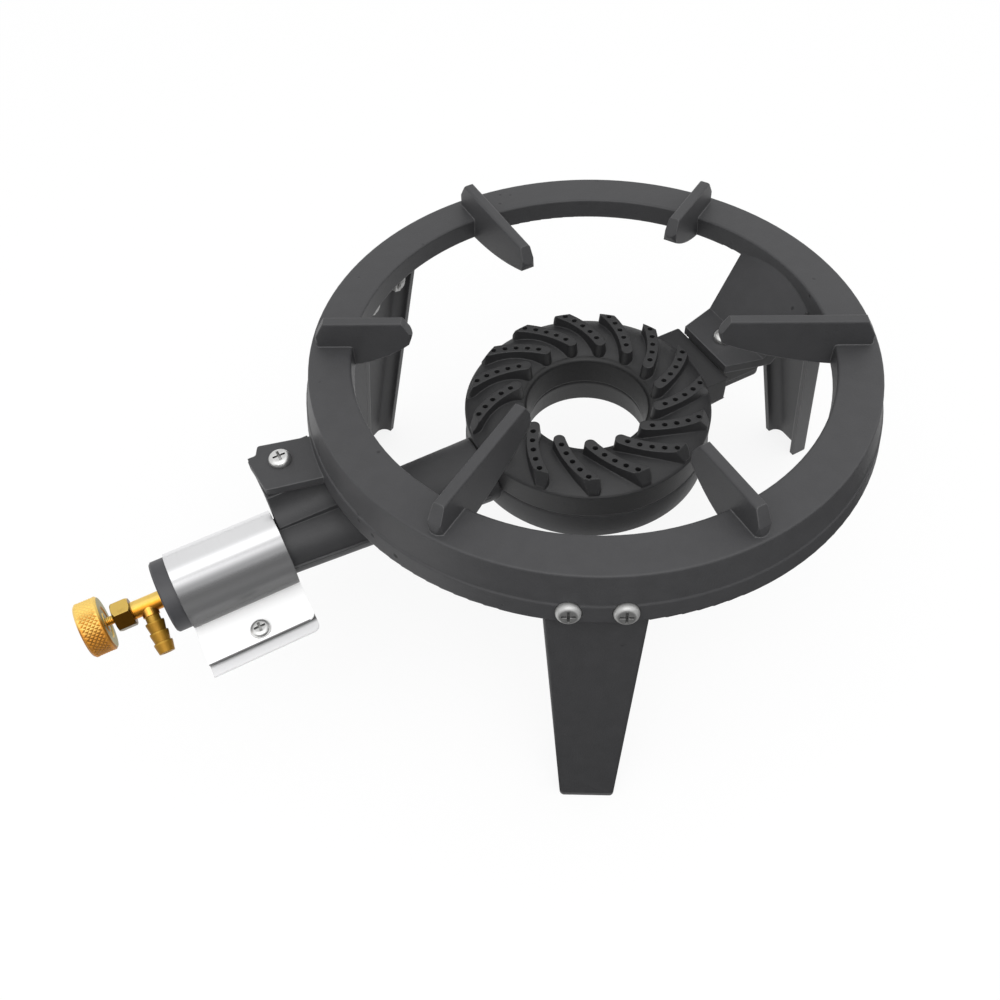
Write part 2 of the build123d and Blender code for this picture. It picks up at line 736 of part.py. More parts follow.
ear_m6 = make_screw(m6_r, m6_head_r, m6_head_h, ear_grip + m6_nut_t + thread_tail)
bracket_m6 = make_screw(m6_r, m6_head_r, m6_head_h, bracket_grip + m6_nut_t + thread_tail)
with BuildPart() as ear_screw:
    with Locations(upright_at(ring_h - ear_t, ear_place)):
        add(ear_m6)
finish(ear_screw, "ear_screw")
with BuildPart() as ear_nut:
    with Locations(upright_at(ring_h + wing_t, ear_place)):
        add(m6_nut)
finish(ear_nut, "ear_nut")
with BuildPart() as bracket_screw:
    with Locations(upright_at(tab_drop, bracket_place)):
        add(bracket_m6)
finish(bracket_screw, "bracket_screw")
with BuildPart() as bracket_nut:
    with Locations(upright_at(joint_drop + low_tongue_t, bracket_place)):
        add(m6_nut)
finish(bracket_nut, "bracket_nut")

# Air sleeve: a rolled band whose two ends turn out as clamp flanges
flange_low_drop = flange_drop + sheet + flange_gap
with BuildPart() as air_sleeve:
    with BuildSketch(cross(sleeve_end)):
        Circle(sleeve_r)
        with BuildLine():
            Polyline((0, -flange_drop), (-flange_side, -flange_drop), (-flange_side, -flange_drop - sheet),
                     (0, -flange_drop - sheet), close=True)
        make_face()
        with BuildLine():
            Polyline((0, -flange_low_drop), (-flange_low_side, -flange_low_drop),
                     (-flange_low_side, -flange_low_drop - sheet), (0, -flange_low_drop - sheet), close=True)
        make_face()
        Circle(sleeve_bore_r, mode=Mode.SUBTRACT)
        with BuildLine():
            Polyline((0, -flange_drop - sheet), (-sleeve_r, -flange_drop - sheet),
                     (-sleeve_r, -flange_low_drop), (0, -flange_low_drop), close=True)
        make_face(mode=Mode.SUBTRACT)
    extrude(amount=sleeve_end - tube_end)
    flange_corners = air_sleeve.edges().filter_by(Axis.Z).group_by(Axis.X)[-1]
    fillet(flange_corners, radius=flange_round)
    with BuildSketch(level(tube_drop + flange_drop - overrun)):
        with Locations((-clamp_reach, -clamp_side)):
            Circle(m5_r + screw_fit)
    extrude(amount=-(flange_low_drop - flange_drop + sheet + overrun + overrun), mode=Mode.SUBTRACT)
finish(air_sleeve, "air_sleeve")

clamp_place = (-clamp_reach, -clamp_side)
clamp_grip = flange_low_drop - flange_drop + sheet
clamp_m5 = make_screw(m5_r, m5_head_r, m5_head_h, clamp_grip + m5_nut_t + thread_tail)
m5_nut = make_nut(m5_af, m5_nut_t, m5_r)
with BuildPart() as clamp_screw:
    with Locations(upright_at(tube_drop + flange_drop, clamp_place)):
        add(clamp_m5)
finish(clamp_screw, "clamp_screw")
with BuildPart() as clamp_nut:
    with Locations(upright_at(tube_drop + flange_low_drop + sheet, clamp_place)):
        add(m5_nut)
finish(clamp_nut, "clamp_nut")

# End disc: a cup that slides into the sleeve, with air holes round the valve's seat
disc_in_reach = sleeve_end - disc_in
with BuildPart() as end_disc:
    turn([(disc_in_reach, collar_r - disc_wall), (disc_in_reach, collar_r), (disc_face - disc_round, collar_r),
          (disc_face, collar_r - disc_round), (disc_face, stub_r + running_fit),
          (disc_face - disc_t, stub_r + running_fit), (disc_face - disc_t, collar_r - disc_wall)],
         valve_plane, valve_axis)
    with BuildSketch(along_valve(disc_face - disc_t - overrun)):
        with PolarLocations(air_ring_r, air_count):
            Circle(air_hole_r)
    extrude(amount=disc_t + overrun + overrun, mode=Mode.SUBTRACT)
finish(end_disc, "end_disc")

# Valve body: stub through the disc, needle chamber, thread for the packing nut, side boss for the barb
barb_dir = Vector(0, -math.cos(math.radians(barb_fall)), -math.sin(math.radians(barb_fall)))
barb_origin = Vector(ring_x - barb_reach, 0, stand_h - tube_drop)
barb_plane = Plane(origin=barb_origin, x_dir=(1, 0, 0), z_dir=barb_dir)
barb_axis = Axis(barb_origin, barb_dir)
barb_side = Plane(origin=barb_origin, x_dir=(1, 0, 0), z_dir=Vector(1, 0, 0).cross(barb_dir))
thread_end = body_end + thread_in
bore_r = stem_r + running_fit
with BuildPart() as valve_body:
    turn([(stub_near, 0), (stub_near, stub_r), (disc_face, stub_r), (disc_face, body_r), (body_end, body_r),
          (body_end, thread_r), (thread_end, thread_r), (thread_end, 0)], valve_plane, valve_axis)
    with BuildSketch(barb_plane):
        Circle(barb_boss_r)
    extrude(amount=barb_boss_l)
    turn([(stub_near - overrun, 0), (stub_near - overrun, seat_r), (seat_reach, seat_r),
          (seat_reach, chamber_r), (chamber_far, chamber_r), (chamber_far, bore_r),
          (thread_end + overrun, bore_r), (thread_end + overrun, 0)], valve_plane, valve_axis, Mode.SUBTRACT)
    with BuildSketch(barb_plane.offset(body_r)):
        Circle(barb_spigot_r + running_fit)
    extrude(amount=barb_boss_l, mode=Mode.SUBTRACT)
    with BuildSketch(barb_plane):
        Circle(barb_bore_r)
    extrude(amount=barb_boss_l, mode=Mode.SUBTRACT)
finish(valve_body, "valve_body")

# Hose barb: a neck, then three ridges that bite into the hose
with BuildPart() as hose_nozzle:
    ridge_l = (barb_l - barb_neck_l) / barb_count
    barb_points = [(barb_bore_r, body_r), (barb_spigot_r, body_r), (barb_spigot_r, barb_boss_l),
                   (barb_neck_r, barb_boss_l), (barb_neck_r, barb_neck_l)]
    for ridge in range(barb_count):
        start = barb_neck_l + ridge_l * ridge
        barb_points.append((barb_crest_r, start))
        barb_points.append((barb_crest_r, start + barb_land_l))
        barb_points.append((barb_root_r, start + ridge_l))
    barb_points.append((barb_bore_r, barb_l))
    turn(barb_points, barb_side, barb_axis)
finish(hose_nozzle, "hose_nozzle")

with BuildPart() as valve_locknut:
    with Locations(along_valve(disc_face - disc_t)):
        add(make_nut(locknut_af, locknut_t, stub_r))
finish(valve_locknut, "valve_locknut")

with BuildPart() as injector_jet:
    turn([(stub_near + jet_spigot_l, jet_hole_r), (stub_near + jet_spigot_l, jet_spigot_r),
          (stub_near, jet_spigot_r), (stub_near, stub_r), (stub_near - jet_spigot_l, stub_r),
          (jet_near, jet_tip_r), (jet_near, jet_hole_r)], valve_plane, valve_axis)
finish(injector_jet, "injector_jet")

# Packing nut over the body's thread, with the gland packing squeezed inside it
gland_far = packing_end - packing_wall
with BuildPart() as packing_nut:
    with BuildSketch(along_valve(body_end)):
        RegularPolygon(packing_af / 2, 6, major_radius=False)
    extrude(amount=packing_end - body_end)
    hex_r = packing_af * hex_corner_share
    hex_cut = hex_r - packing_af / 2
    turn([(body_end, 0), (body_end, packing_af / 2), (body_end + hex_cut, hex_r),
          (packing_end - hex_cut, hex_r), (packing_end, packing_af / 2), (packing_end, 0)],
         valve_plane, valve_axis, Mode.INTERSECT)
    turn([(body_end - overrun, 0), (body_end - overrun, thread_r + running_fit),
          (gland_far, thread_r + running_fit), (gland_far, bore_r), (packing_end + overrun, bore_r),
          (packing_end + overrun, 0)], valve_plane, valve_axis, Mode.SUBTRACT)
finish(packing_nut, "packing_nut")

with BuildPart() as gland_packing:
    turn([(thread_end, bore_r), (thread_end, thread_r), (gland_far, thread_r), (gland_far, bore_r)],
         valve_plane, valve_axis)
finish(gland_packing, "gland_packing")

# Needle stem, with a cone at the seat and a thinner spindle inside the knob
spindle_near = knob_near + knob_land_l
pocket_near = knob_far - knob_pocket_l
cone_near = seat_reach + (stem_neck_r - seat_r) * (seat_reach - stem_tip_reach) / (seat_r - stem_tip_r)
with BuildPart() as valve_stem:
    turn([(stem_tip_reach, 0), (stem_tip_reach, stem_tip_r), (seat_reach, seat_r - running_fit),
          (cone_near, stem_neck_r), (stem_neck_reach, stem_neck_r), (stem_neck_reach, stem_r),
          (spindle_near, stem_r), (spindle_near, spindle_r), (pocket_near, spindle_r), (pocket_near, 0)],
         valve_plane, valve_axis)
    turn([(pocket_near - knob_screw_l, 0), (pocket_near - knob_screw_l, knob_screw_r + running_fit),
          (pocket_near + overrun, knob_screw_r + running_fit), (pocket_near + overrun, 0)],
         valve_plane, valve_axis, Mode.SUBTRACT)
finish(valve_stem, "valve_stem")

with BuildPart() as knob:
    turn([(knob_near, bore_r), (knob_near, knob_r - knob_edge), (knob_near + knob_edge, knob_r),
          (knob_far - knob_edge, knob_r), (knob_far, knob_r - knob_edge), (knob_far, knob_pocket_r),
          (pocket_near, knob_pocket_r), (pocket_near, spindle_r + running_fit),
          (spindle_near, spindle_r + running_fit), (spindle_near, bore_r)], valve_plane, valve_axis)
finish(knob, "knob")

with BuildPart() as knob_screw:
    head_far = pocket_near + knob_screw_head_h
    turn([(pocket_near - knob_screw_l + thread_tail, 0), (pocket_near - knob_screw_l + thread_tail, knob_screw_r),
          (pocket_near, knob_screw_r), (pocket_near, knob_screw_head_r),
          (head_far - knob_screw_round, knob_screw_head_r), (head_far, knob_screw_head_r - knob_screw_round),
          (head_far, 0)], valve_plane, valve_axis)
    with BuildSketch(along_valve(head_far)):
        Rectangle(knob_screw_head_r + knob_screw_head_r + overrun, recess_w)
    extrude(amount=-knob_screw_head_h * recess_depth_share, mode=Mode.SUBTRACT)
finish(knob_screw, "knob_screw")
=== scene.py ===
import math

import bpy
from bpy.props import FloatProperty, FloatVectorProperty, IntProperty, PointerProperty
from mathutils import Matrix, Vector


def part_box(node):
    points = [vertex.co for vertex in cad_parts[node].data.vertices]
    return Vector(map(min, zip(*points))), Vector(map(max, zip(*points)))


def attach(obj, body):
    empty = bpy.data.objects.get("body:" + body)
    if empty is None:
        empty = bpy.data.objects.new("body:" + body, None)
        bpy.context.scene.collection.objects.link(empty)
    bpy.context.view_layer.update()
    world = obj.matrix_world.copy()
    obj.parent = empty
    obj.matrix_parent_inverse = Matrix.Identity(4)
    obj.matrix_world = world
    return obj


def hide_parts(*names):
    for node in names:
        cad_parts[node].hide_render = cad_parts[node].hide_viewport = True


bl_info = {
    "name": "Outdoor gas burner",
    "version": (1, 0, 0),
    "blender": (4, 5, 0),
    "location": "3D View > Sidebar > Gas burner",
    "description": "Finishes of a cast iron gas ring, its knurled valve knob and a plain stage",
    "category": "Object",
}

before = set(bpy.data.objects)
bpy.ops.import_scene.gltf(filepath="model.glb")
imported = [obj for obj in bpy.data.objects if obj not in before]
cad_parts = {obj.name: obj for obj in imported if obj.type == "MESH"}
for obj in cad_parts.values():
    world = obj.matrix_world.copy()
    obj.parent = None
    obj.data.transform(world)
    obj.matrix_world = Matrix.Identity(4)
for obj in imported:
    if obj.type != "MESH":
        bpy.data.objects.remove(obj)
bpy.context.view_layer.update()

# Places read from the frame, in metres: the ring's upright axis and its top, the valve's level axis and the
# flanges of the sleeve
FINGER_H = 0.015
LEG_SLOPE = math.radians(12.1)
LEG_TURNS = tuple(math.radians(azimuth) for azimuth in (0, 120, 240))
RING_LOW, RING_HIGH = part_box("ring_frame")
SKIRT_R = (RING_HIGH.y - RING_LOW.y) / 2
RING_X = RING_HIGH.x - SKIRT_R
RING_TOP = RING_HIGH.z - FINGER_H
KNOB_LOW, KNOB_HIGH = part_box("knob")
KNOB_R = (KNOB_HIGH.z - KNOB_LOW.z) / 2
VALVE_Z = KNOB_LOW.z + KNOB_R
FLANGE_STEP = 0.005
FLANGE_DROP = 0.0109
FLANGE_Y = -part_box("air_sleeve")[0].y - FLANGE_STEP
FLANGE_Z = VALVE_Z - FLANGE_DROP

# The knob's edges, the pocket for its screw, its bore and the stem's seat, as in the CAD
KNOB_CHAMFER = 0.001
POCKET_R = 0.0044
POCKET_DEPTH = 0.0036
BORE_R = 0.00185
SEAT_R = 0.00225
SEAT_DEPTH = 0.003

# Edges of the grooves in the knob's two faces, from the rim inward, as shares of its radius
OUTER_GROOVE = (0.78, 0.74, 0.5, 0.46)
INNER_GROOVE = (0.6, 0.56, 0.36, 0.33)
MERGE_GAP = 0.00002
SMOOTH_ANGLE = math.radians(18)

# Screws, each with its nut, the height of its head and the pitch of its thread. The height for the legs'
# screws is taken from the corner of their box.
UPRIGHT_SCREWS = (("ear_screw", "ear_nut", 0.0038, 0.001),
                  ("bracket_screw", "bracket_nut", 0.0038, 0.001),
                  ("clamp_screw", "clamp_nut", 0.0032, 0.0008))
LEG_HEAD = 0.0058
LEG_PITCH = 0.001
KNOB_SCREW_PITCH = 0.0004

# Casting pits in the ring's skirt: azimuth in degrees, drop below the top and radius
SKIRT_PITS = ((196.6, 0.0215, 0.0016), (202.6, 0.0235, 0.0019), (224.0, 0.0245, 0.0011))
SKIRT_BATTER = 0.0012

# Where the painted light and shade of the sleeve and the brass change, as angles above the front: 0 is the
# front and 90 is the top
# The sleeve gets painted shade below SLEEVE_DIM and SLEEVE_DARK, and a painted highlight from SLEEVE_BRIGHT
# and in the gleam
SLEEVE_DARK = (-44.0, -22.0)
SLEEVE_DIM = (-22.0, 14.0)
SLEEVE_METAL = (28.0, 50.0)
SLEEVE_BRIGHT = (50.0, 82.0)
GLEAM_START = (66.0, 74.0)
GLEAM_END = (80.0, 90.0)
# The brass goes from a painted shaded underside past BRASS_FRONT to a painted lit top past BRASS_TOP
BRASS_FRONT = (5.0, 35.0)
BRASS_TOP = (50.0, 80.0)
# Where the painted shade in the knurl's grooves fades out towards the lit top
GROOVE_LIT = (50.0, 75.0)

# Where the flanges' painted shadow changes, in metres: under the upper flange, clear of the sleeve, out of
# the gap
UNDER_FLANGE = (FLANGE_Z - 0.0016, FLANGE_Z - 0.0013)
CLEAR_OF_SLEEVE = (0.024, 0.026)
OUT_OF_GAP = (FLANGE_Y - 0.0024, FLANGE_Y + 0.0006)

# The camera, worked out from the ring's circles
CAMERA_PLACE = (RING_X - 0.206174, -0.311494, RING_TOP + 0.337526)
CAMERA_TURN = tuple(math.radians(turn) for turn in (38.17586, 2.12889, -28.04038))
SENSOR_WIDTH = 36.0

# The stage: the floor, the lamp, the dark card, the strengths of the dim room, the ceiling and the soft box,
# and where the soft box starts and ends, as angles above the front
FLOOR_SIZE = 12.0
FLOOR_WHITE = 0.86
LAMP_PLACE = (-0.35, -0.75, 1.35)
LAMP_TURN = (math.radians(28), 0, math.radians(-22))
LAMP_SIZE = (1.4, 0.9)
CARD_PLACE = (-0.1, -0.72, 0.002)
CARD_SIZE = (2.4, 1.2, 1)
ROOM_LIGHT = 0.16
CEILING_LIGHT = 0.74
BOX_LIGHT = 0.43
BOX_START = (12.0, 34.0)
BOX_END = (104.0, 120.0)

# Fixed tones: the barb's painted shade and painted lit top from its underside to its top, the packing's
# valleys and crests, the rubbed rim of the black disc, the studio's white and its dark card
BARB_LIGHT_AND_SHADE = ((0.32, 0.155, 0.010, 1.0), (0.30, 0.15, 0.010, 1.0), (0.55, 0.34, 0.05, 1.0))
TAPE_TONES = ((0.68, 0.68, 0.65, 1.0), (0.85, 0.85, 0.82, 1.0))
BARE_RIM = (0.3, 0.3, 0.31, 1.0)
WHITE = (1.0, 1.0, 1.0, 1.0)
CARD_GREY = (0.05, 0.05, 0.05, 1.0)


class Value:
    """An output of a finish's node; Python's operators on it add Math nodes."""

    def __init__(self, finish, socket):
        self.finish = finish
        self.socket = socket

    def output(self, name):
        """Another output of the same node."""
        return Value(self.finish, self.socket.node.outputs[name])

    def maths(self, operation, *terms):
        return self.finish.node("ShaderNodeMath", {"operation": operation}, dict(enumerate(terms)))

    def __add__(self, other):
        return self.maths("ADD", self, other)

    __radd__ = __add__

    def __sub__(self, other):
        return self.maths("SUBTRACT", self, other)

    def __rsub__(self, other):
        return self.maths("SUBTRACT", other, self)

    def __mul__(self, other):
        return self.maths("MULTIPLY", self, other)

    __rmul__ = __mul__

    def sine(self):
        return self.maths("SINE", self)

    def larger(self, other):
        return self.maths("MAXIMUM", self, other)


class Finish:
    """The node tree of a material or world, built up to its output."""

    def __init__(self, owner):
        self.owner = owner
        owner.use_nodes = True
        self.tree = owner.node_tree
        self.tree.nodes.clear()

    def node(self, kind, settings=None, sockets=None, output=0):
        """Adds a node: first its settings, then its sockets' values or links. Returns one output."""
        made = self.tree.nodes.new(kind)
        for name, setting in (settings or {}).items():
            setattr(made, name, setting)
        for name, value in (sockets or {}).items():
            if isinstance(value, Value):
                self.tree.links.new(value.socket, made.inputs[name])
            else:
                made.inputs[name].default_value = value
        return Value(self, made.outputs[output])

    def place(self, centre=(0, 0, 0), stretch=(1, 1, 1)):
        """Object coordinates about a centre, in metres, stretched along the axes."""
        point = self.node("ShaderNodeTexCoord", output="Object")
        moved = self.vector("SUBTRACT", point, centre)
        return self.vector("MULTIPLY", moved, stretch)

    def vector(self, operation, first, second, output=0):
        return self.node("ShaderNodeVectorMath", {"operation": operation}, {0: first, 1: second}, output)

    def length(self, vector):
        return self.vector("LENGTH", vector, (0, 0, 0), "Value")

    def part(self, vector, axis):
        """A vector's X, Y or Z."""
        return self.node("ShaderNodeSeparateXYZ", None, {0: vector}, axis)

    def rise(self, vector):
        """A vector's angle about the X axis in degrees: 0 towards the front, 90 straight up."""
        up = self.part(vector, "Z")
        return up.maths("ARCTAN2", up, up.output("Y") * -1.0) * math.degrees(1)

    def normal(self):
        return self.node("ShaderNodeNewGeometry", output="Normal")

    def ridges(self, along, pitch):
        """Even ridges across a direction: 0 in the valleys, 1 on the crests."""
        return (along * (math.tau / pitch)).sine() * 0.5 + 0.5

    def noise(self, place, scale, detail=3.0, roughness=0.5):
        return self.node("ShaderNodeTexNoise", None,
                         {"Vector": place, "Scale": scale, "Detail": detail, "Roughness": roughness})

    def fade(self, value, start, end):
        """0 before start, 1 after end, smooth between them."""
        return self.node("ShaderNodeMapRange", {"interpolation_type": "SMOOTHSTEP"},
                         {"Value": value, "From Min": start, "From Max": end})

    def mix(self, share, first, second):
        """A colour between two colours."""
        return self.node("ShaderNodeMix", {"data_type": "RGBA"}, {0: share, 6: first, 7: second}, 2)

    def rounded(self, radius):
        """The normal with edges rounded to a radius, and how much of an edge each point is."""
        soft = self.node("ShaderNodeBevel", {"samples": 6}, {"Radius": radius})
        return soft, 1.0 - self.vector("DOT_PRODUCT", soft, self.normal(), "Value")

    def bump(self, height, strength, depth, soft=None):
        """The normal over a relief of a depth in metres, laid on rounded edges if they are given."""
        sockets = {"Strength": strength, "Distance": depth, "Height": height}
        if soft:
            sockets["Normal"] = soft
        return self.node("ShaderNodeBump", None, sockets)

    def surface(self, **sockets):
        """A Principled surface on the output. Underscores in names stand for spaces."""
        named = {name.replace("_", " "): value for name, value in sockets.items()}
        shader = self.node("ShaderNodeBsdfPrincipled", None, named)
        self.node_output(shader)
        return self.owner

    def node_output(self, shader, kind="ShaderNodeOutputMaterial"):
        made = self.tree.nodes.new(kind)
        self.tree.links.new(shader.socket, made.inputs["Surface"])


def colour(settings, name):
    """A colour property with its alpha."""
    return (*getattr(settings, name), 1.0)


def shade(rgb, share):
    """A colour made darker or lighter."""
    return (*[min(part * share, 1.0) for part in rgb[:3]], 1.0)


def dress(names, material):
    """Gives CAD nodes one material in all their slots."""
    for name in names:
        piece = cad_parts[name]
        piece.data.materials.clear()
        piece.data.materials.append(material)


def deselect():
    """Leaves nothing selected, so that an operator acts on its own piece only."""
    if bpy.context.mode != "OBJECT":
        bpy.ops.object.mode_set(mode="OBJECT")
    bpy.ops.object.select_all(action="DESELECT")


def edit(mode):
    """Edit mode with nothing selected."""
    bpy.ops.object.mode_set(mode="EDIT")
    bpy.ops.mesh.select_mode(type=mode)
    bpy.ops.mesh.select_all(action="DESELECT")


def choose(piece, test, kind="vertices"):
    """Selects only the vertices, edges or faces that pass a test, in edit mode."""
    edit({"vertices": "VERT", "edges": "EDGE", "polygons": "FACE"}[kind])
    bpy.ops.object.mode_set(mode="OBJECT")
    for part in getattr(piece.data, kind):
        part.select = test(part)
    bpy.ops.object.mode_set(mode="EDIT")


# Finishes


def cast_iron(name, settings, tone=1.0, grain=1.0, rubbed=0.6, pits=(), darker_within=0.0):
    """Satin black cast iron: sand grain, a swell, casting pits, lighter edges that are partly rubbed and
    partly a painted highlight, and darker within a radius of the ring's axis.
    """
    finish = Finish(bpy.data.materials.new(name))
    place = finish.place()
    sand = finish.noise(place, 1000.0 / settings.grain, 3.0, 0.6)
    swell = finish.noise(place, 45.0, 3.0, 0.55)
    patches = finish.noise(place, 130.0, 4.0, 0.6)
    cells = finish.node("ShaderNodeTexVoronoi", {"feature": "F1"}, {"Vector": place, "Scale": 110.0},
                        "Distance")
    rare = finish.fade(finish.noise(place, 30.0, 1.0), 0.60, 0.66)
    pit = (1.0 - finish.fade(cells, 0.05, 0.17)) * rare
    for centre, radius in pits:
        far = finish.vector("DISTANCE", place, centre, "Value")
        pit = pit.larger(1.0 - finish.fade(far, radius * 0.4, radius))
    soft, edge = finish.rounded(settings.edge / 1000)
    # Lighter edges: partly rubbed wear, partly a painted highlight where light catches the rounded edges
    lighter_edges = finish.fade(edge * (0.45 + patches), 0.03, 0.22)
    iron = colour(settings, "colour")
    dull = finish.mix(finish.fade(patches, 0.3, 0.75), shade(iron, 0.93 * tone), shade(iron, 1.07 * tone))
    dull = finish.mix(sand * 0.5, dull, shade(iron, 1.25 * tone))
    # rubbed sets how far the edges are lightened, by wear and by a painted highlight
    base = finish.mix(lighter_edges * rubbed, dull, colour(settings, "edge_colour"))
    base = finish.mix(pit * 0.8, base, shade(iron, 0.3))
    # Darker within a radius of the ring's axis, over the burner's inner hole
    if darker_within:
        far = finish.length(finish.place((RING_X, 0, 0), (1, 1, 0)))
        darkened = (1.0 - finish.fade(far, darker_within, darker_within + 0.004)) * 0.75
        base = finish.mix(darkened, base, shade(iron, 0.25 * tone))
    height = sand * 0.4 * grain + swell * 0.9 + patches * 0.2 - pit * 1.6
    rough = settings.roughness + patches * 0.06 + 0.05 - lighter_edges * 0.1 + pit * 0.15
    return finish.surface(Base_Color=base, Roughness=rough, Normal=finish.bump(height, 0.34, 0.0006, soft),
                          Specular_IOR_Level=0.42)


def threaded(finish, along, start, pitch):
    """Height of a thread's ridges along a screw's axis, below its head."""
    return finish.ridges(along, pitch) * (1.0 - finish.fade(along, start - pitch * 0.3, start))


def zinc(name, settings, along, start, pitch, dulled=0.0, tone=1.0, metal=1.0):
    """Bright zinc plate: soft mottling, painted shade in recesses, duller flat ends and the thread below the
    head.
    """
    finish = Finish(bpy.data.materials.new(name))
    place = finish.place()
    mottle = finish.noise(place, 420.0, 3.0)
    scratch = finish.noise(finish.place(stretch=(1.0, 9.0, 1.0)), 700.0, 2.0)
    soft, edge = finish.rounded(0.00035)
    thread = threaded(finish, along(finish, finish.place((RING_X, 0, 0))), start, pitch)
    flat = finish.fade(along(finish, finish.normal()), 0.85, 0.99)
    # Painted shade in recesses, from ambient occlusion
    light = finish.node("ShaderNodeAmbientOcclusion", {"samples": 6}, {"Distance": 0.002}, "AO")
    recess_shade = 1.0 - finish.fade(light, 0.4, 0.9)
    plate = shade(colour(settings, "zinc_colour"), tone)
    base = finish.mix(mottle, shade(plate, 0.82), shade(plate, 1.08))
    base = finish.mix(flat * dulled, base, shade(plate, 0.22))
    base = finish.mix(recess_shade * 0.7, base, shade(plate, 0.15))
    base = finish.mix(thread * 0.35, base, shade(plate, 0.5))
    height = thread * 3.0 + mottle * 0.08 + scratch * 0.12
    rough = 0.24 + mottle * 0.14 + scratch * 0.1 - finish.fade(edge, 0.05, 0.3) * 0.08
    return finish.surface(Base_Color=base, Metallic=metal, Roughness=rough,
                          Normal=finish.bump(height, 0.5, 0.0002, soft))


def upright(finish, vector):
    """How far a vector reaches up, for screws that stand upright."""
    return finish.part(vector, "Z")


def towards_knob(finish, vector):
    """How far a vector reaches out along the knob's screw."""
    return finish.part(vector, "X") * -1.0


def out_of_legs(finish, vector):
    """How far a vector reaches out along the nearest leg's screws."""
    level = math.cos(LEG_SLOPE)
    outward = [(math.cos(turn) * level, math.sin(turn) * level, math.sin(LEG_SLOPE)) for turn in LEG_TURNS]
    rear, left, right = [finish.vector("DOT_PRODUCT", vector, out, "Value") for out in outward]
    return rear.larger(left).larger(right)


def sheet_steel(name, settings):
    """Bright sheet, brushed round the sleeve: painted shade on its front's lower half and a painted highlight
    near its top, by the angle about the valve's axis, white on the flanges as a painted reflection, and a
    painted shadow in the gap between them."""
    finish = Finish(bpy.data.materials.new(name))
    centre = (0, 0, VALVE_Z)
    lines = finish.noise(finish.place(centre, (1.0, 0.03, 0.03)), 1000.0 / settings.brush, 3.0, 0.7)
    cloud = finish.noise(finish.place(centre), 60.0, 3.0)
    soft, edge = finish.rounded(0.0004)
    angle = finish.rise(finish.place(centre))
    height = finish.part(finish.place(), "Z")
    front = height.output("Y") * -1.0
    flange = 1.0 - finish.fade(height, FLANGE_Z, FLANGE_Z + 0.0002)
    sheet = colour(settings, "sheet_colour")
    # The sleeve's lower half is painted shade: darker below SLEEVE_DIM, darkest below SLEEVE_DARK
    dull = colour(settings, "shaded_sheet_colour")
    dull = finish.mix(finish.fade(angle, *SLEEVE_DIM), shade(dull, 0.2), dull)
    dull = finish.mix(finish.fade(angle, *SLEEVE_DARK), shade(sheet, 0.1), dull)
    # A painted highlight: the gleam and the bright sheet above SLEEVE_BRIGHT
    gleam = finish.fade(angle, *GLEAM_START) * (1.0 - finish.fade(angle, *GLEAM_END))
    base = finish.mix(finish.fade(angle, *SLEEVE_BRIGHT), dull, sheet)
    base = finish.mix(gleam, base, shade(sheet, 1.13))
    base = finish.mix(lines * 0.12 + cloud * 0.06, base, shade(sheet, 0.2))
    # White on the flanges is a painted reflection, and the upper flange's front edge gets painted shade
    base = finish.mix(flange, base, WHITE)
    base = finish.mix(finish.fade(front, FLANGE_Y - 0.0002, FLANGE_Y), base, shade(sheet, 0.16))
    # A painted shadow on the lower flange's strip, darkest at the gap under the upper flange
    low = (1.0 - finish.fade(height, *UNDER_FLANGE)) * finish.fade(front, *CLEAR_OF_SLEEVE)
    gap = finish.mix(finish.fade(front, *OUT_OF_GAP), shade(sheet, 0.12), shade(sheet, 0.8))
    base = finish.mix(low, base, gap)
    metal = finish.fade(angle, *SLEEVE_METAL) * (1.0 - flange)
    rough = settings.sheet_roughness + lines * 0.06 + finish.fade(edge, 0.05, 0.3) * 0.08
    return finish.surface(Base_Color=base, Metallic=metal, Roughness=rough,
                          Normal=finish.bump(lines, 0.06, 0.0002, soft))


def black_steel(name, settings):
    """Black plated steel with turning marks on its face and a rubbed rim."""
    finish = Finish(bpy.data.materials.new(name))
    marks = finish.ridges(finish.length(finish.place((0, 0, VALVE_Z), (0, 1, 1))), 0.0007)
    mottle = finish.noise(finish.place(), 260.0, 4.0)
    soft, edge = finish.rounded(0.0005)
    lighter_edges = finish.fade(edge * (0.5 + mottle), 0.04, 0.3)
    plate = colour(settings, "disc_colour")
    base = finish.mix(mottle, shade(plate, 0.8), shade(plate, 1.2))
    base = finish.mix(lighter_edges * 0.6, base, BARE_RIM)
    return finish.surface(Base_Color=base, Roughness=0.42 + mottle * 0.16 - lighter_edges * 0.1,
                          Normal=finish.bump(marks * 0.4 + mottle * 0.5, 0.2, 0.0002, soft))


